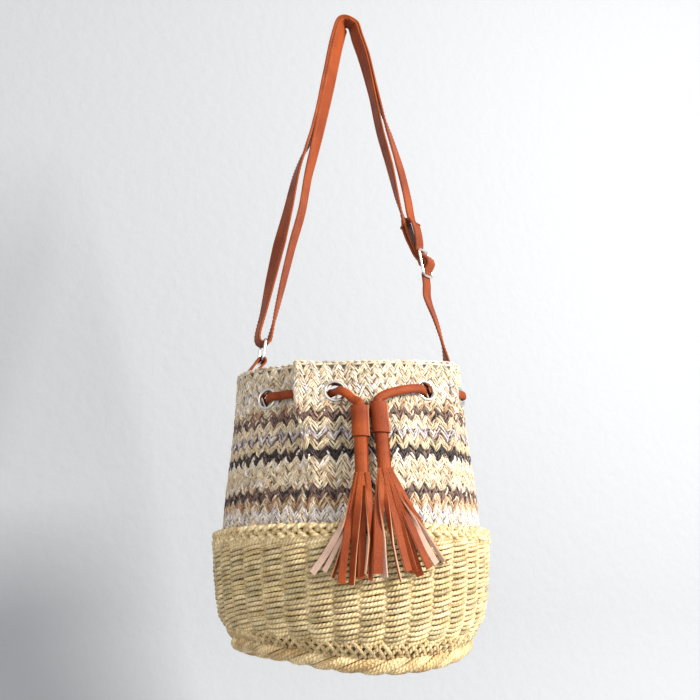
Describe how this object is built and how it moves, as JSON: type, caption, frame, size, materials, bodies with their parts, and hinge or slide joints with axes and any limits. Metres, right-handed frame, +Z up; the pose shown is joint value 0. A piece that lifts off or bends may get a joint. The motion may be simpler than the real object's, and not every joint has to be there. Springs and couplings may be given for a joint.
{
  "type": "bucket bag",
  "caption": "Drawstring bucket bag with a twined straw basket base, a knit upper, leather tassels and an adjustable leather shoulder strap.",
  "frame": {"origin": "where the top bend of the shoulder strap rests on what holds it up, the underside of the bend", "axes": "+Z up, the front with the tassels towards -Y, +X to the right as seen from the front, towards the slider"},
  "size_m": [0.2108, 0.2156, 0.5428],
  "materials": {
    "straw": "matte twisted paper straw",
    "knit": "matte raffia knit in cream, beige, mauve brown and black bands",
    "leather": "orange-brown pebbled leather with a pale suede back",
    "nickel": "polished nickel plating"
  },
  "bodies": {
    "root": {"basket": "straw", "basket_border": "straw", "basket_foot": "straw", "knit_body": "knit", "drawstring": "leather", "collar_left": "leather", "collar_right": "leather", "tassel_left": "leather", "tassel_right": "leather", "strap": "leather", "strap_tab": "leather", "strap_ring": "nickel", "strap_slider": "nickel", "eyelet_01": "nickel", "eyelet_02": "nickel", "eyelet_03": "nickel", "eyelet_04": "nickel", "eyelet_05": "nickel", "eyelet_06": "nickel", "eyelet_07": "nickel", "eyelet_08": "nickel", "eyelet_09": "nickel", "eyelet_10": "nickel", "eyelet_11": "nickel", "eyelet_12": "nickel"}
  },
  "joints": []
}
